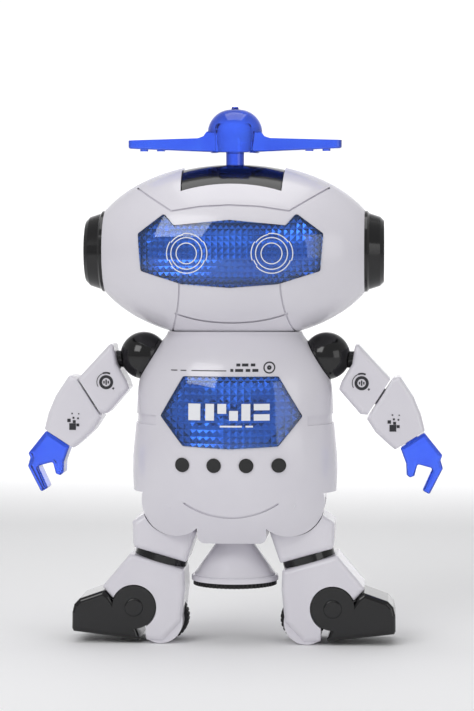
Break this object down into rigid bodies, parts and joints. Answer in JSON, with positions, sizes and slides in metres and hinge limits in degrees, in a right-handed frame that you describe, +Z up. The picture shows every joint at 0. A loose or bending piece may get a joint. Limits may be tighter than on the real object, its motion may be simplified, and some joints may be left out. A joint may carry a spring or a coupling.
{
  "type": "toy robot",
  "caption": "Standing toy robot with a wide oval head, clear visor, spinning crown rotor, turning arms and claws, hinged legs and a lowering cone that it spins on.",
  "frame": {"origin": "on the ground plane under the middle of the head, between the heels", "axes": "+Z up, the robot faces -Y, its own left side is +X"},
  "size_m": [0.1744, 0.0753, 0.2244],
  "materials": {
    "white_shell": "satin gloss moulded ABS",
    "black_gloss": "piano black moulded ABS",
    "blue_clear": "clear tinted polycarbonate",
    "facet_foil": "vacuum-metallised facets",
    "black_rubber": "moulded rubber",
    "grey_plastic": "plain moulded plastic",
    "board": "solder mask",
    "nylon": "natural nylon",
    "steel": "plated steel",
    "cell": "printed steel can"
  },
  "bodies": {
    "body": {"head_front_shell": "white_shell", "head_rear_shell": "white_shell", "case_screws": "steel", "visor_lens": "blue_clear", "visor_reflector": "facet_foil", "head_led_board": "board", "crown_plate": "black_gloss", "left_ear": "black_gloss", "right_ear": "black_gloss", "neck_collar": "grey_plastic", "torso_front_shell": "white_shell", "torso_rear_shell": "white_shell", "chest_lens": "blue_clear", "chest_reflector": "facet_foil", "speaker_ports": "grey_plastic", "main_board": "board", "chest_led_board": "board", "speaker": "grey_plastic", "battery_cells": "cell", "arm_motor": "steel"},
    "rotor_body": {"rotor": "blue_clear", "rotor_clip": "grey_plastic"},
    "door_body": {"battery_door": "white_shell", "door_screw": "steel"},
    "switch_body": {"switch_knob": "grey_plastic"},
    "arms": {"left_shoulder_ball": "black_gloss", "right_shoulder_ball": "black_gloss", "arm_shaft": "steel", "arm_gear": "nylon", "left_upper_arm_front": "white_shell", "right_upper_arm_front": "white_shell", "left_upper_arm_rear": "white_shell", "right_upper_arm_rear": "white_shell"},
    "arm_drive": {"arm_pinion": "nylon"},
    "carriage": {"lift_carriage": "grey_plastic", "spin_motor": "steel"},
    "spinner": {"spin_shaft": "steel", "spin_gear": "nylon", "base_cone": "white_shell", "grip_ring": "black_rubber", "base_plate": "grey_plastic"},
    "spin_drive": {"spin_pinion": "nylon"},
    "left_forearm_body": {"left_forearm_front": "white_shell", "left_forearm_rear": "white_shell"},
    "left_hand_body": {"left_hand": "blue_clear"},
    "left_leg": {"left_thigh": "white_shell", "left_knee_band": "black_gloss", "left_shin_front": "white_shell", "left_shin_rear": "white_shell"},
    "left_foot": {"left_shoe": "black_gloss"},
    "left_wheel": {"left_heel_wheel": "black_rubber"},
    "right_forearm_body": {"right_forearm_front": "white_shell", "right_forearm_rear": "white_shell"},
    "right_hand_body": {"right_hand": "blue_clear"},
    "right_leg": {"right_thigh": "white_shell", "right_knee_band": "black_gloss", "right_shin_front": "white_shell", "right_shin_rear": "white_shell"},
    "right_foot": {"right_shoe": "black_gloss"},
    "right_wheel": {"right_heel_wheel": "black_rubber"}
  },
  "joints": [
    {"name": "rotor_spin", "type": "hinge", "parent": "body", "child": "rotor_body", "pos_m": [0, 0, 0.2], "axis": [0, 0, 1], "continuous": true},
    {"name": "arm_swing", "type": "hinge", "parent": "body", "child": "arms", "pos_m": [0, 0, 0.1202], "axis": [-1, 0, 0], "range_deg": [-45, 110]},
    {"name": "arm_pinion_turn", "type": "hinge", "parent": "body", "child": "arm_drive", "pos_m": [0, 0, 0.1114], "axis": [-1, 0, 0], "range_deg": [-140, 60]},
    {"name": "door_slide", "type": "slide", "parent": "body", "child": "door_body", "axis": [0, 1, 0], "range_m": [0, 0.012]},
    {"name": "switch_slide", "type": "slide", "parent": "body", "child": "switch_body", "axis": [1, 0, 0], "range_m": [0, 0.004]},
    {"name": "base_lift", "type": "slide", "parent": "body", "child": "carriage", "axis": [0, 0, -1], "range_m": [0, 0.028]},
    {"name": "base_spin", "type": "hinge", "parent": "carriage", "child": "spinner", "pos_m": [0, 0, 0.03], "axis": [0, 0, 1], "continuous": true},
    {"name": "spin_pinion_turn", "type": "hinge", "parent": "carriage", "child": "spin_drive", "pos_m": [0, -0.0096, 0.075], "axis": [0, 0, 1], "continuous": true},
    {"name": "left_elbow_turn", "type": "hinge", "parent": "arms", "child": "left_forearm_body", "pos_m": [0.061, 0, 0.1032], "axis": [0.8415, 0, -0.5402], "range_deg": [-90, 90]},
    {"name": "left_wrist_turn", "type": "hinge", "parent": "left_forearm_body", "child": "left_hand_body", "pos_m": [0.0739, 0, 0.08535], "axis": [0.5417, 0, -0.8406], "range_deg": [-90, 90]},
    {"name": "left_hip_swing", "type": "hinge", "parent": "body", "child": "left_leg", "pos_m": [0.024, 0, 0.06], "axis": [0, -1, 0], "range_deg": [0, 15]},
    {"name": "left_ankle_tilt", "type": "hinge", "parent": "left_leg", "child": "left_foot", "pos_m": [0.0416, 0, 0.0152], "axis": [0, 1, 0], "range_deg": [0, 7]},
    {"name": "left_wheel_roll", "type": "hinge", "parent": "left_leg", "child": "left_wheel", "pos_m": [0.029, 0, 0.0096], "axis": [0, 1, 0], "continuous": true},
    {"name": "right_elbow_turn", "type": "hinge", "parent": "arms", "child": "right_forearm_body", "pos_m": [-0.061, 0, 0.1032], "axis": [-0.8415, 0, -0.5402], "range_deg": [-90, 90]},
    {"name": "right_wrist_turn", "type": "hinge", "parent": "right_forearm_body", "child": "right_hand_body", "pos_m": [-0.0739, 0, 0.08535], "axis": [-0.5417, 0, -0.8406], "range_deg": [-90, 90]},
    {"name": "right_hip_swing", "type": "hinge", "parent": "body", "child": "right_leg", "pos_m": [-0.024, 0, 0.06], "axis": [0, 1, 0], "range_deg": [0, 15]},
    {"name": "right_ankle_tilt", "type": "hinge", "parent": "right_leg", "child": "right_foot", "pos_m": [-0.0416, 0, 0.0152], "axis": [0, -1, 0], "range_deg": [0, 7]},
    {"name": "right_wheel_roll", "type": "hinge", "parent": "right_leg", "child": "right_wheel", "pos_m": [-0.029, 0, 0.0096], "axis": [0, 1, 0], "continuous": true}
  ],
  "couplings": [
    {"joint": "arm_pinion_turn", "follows": "arm_swing", "ratio": -1.2},
    {"joint": "spin_pinion_turn", "follows": "base_spin", "ratio": -1.6667}
  ]
}
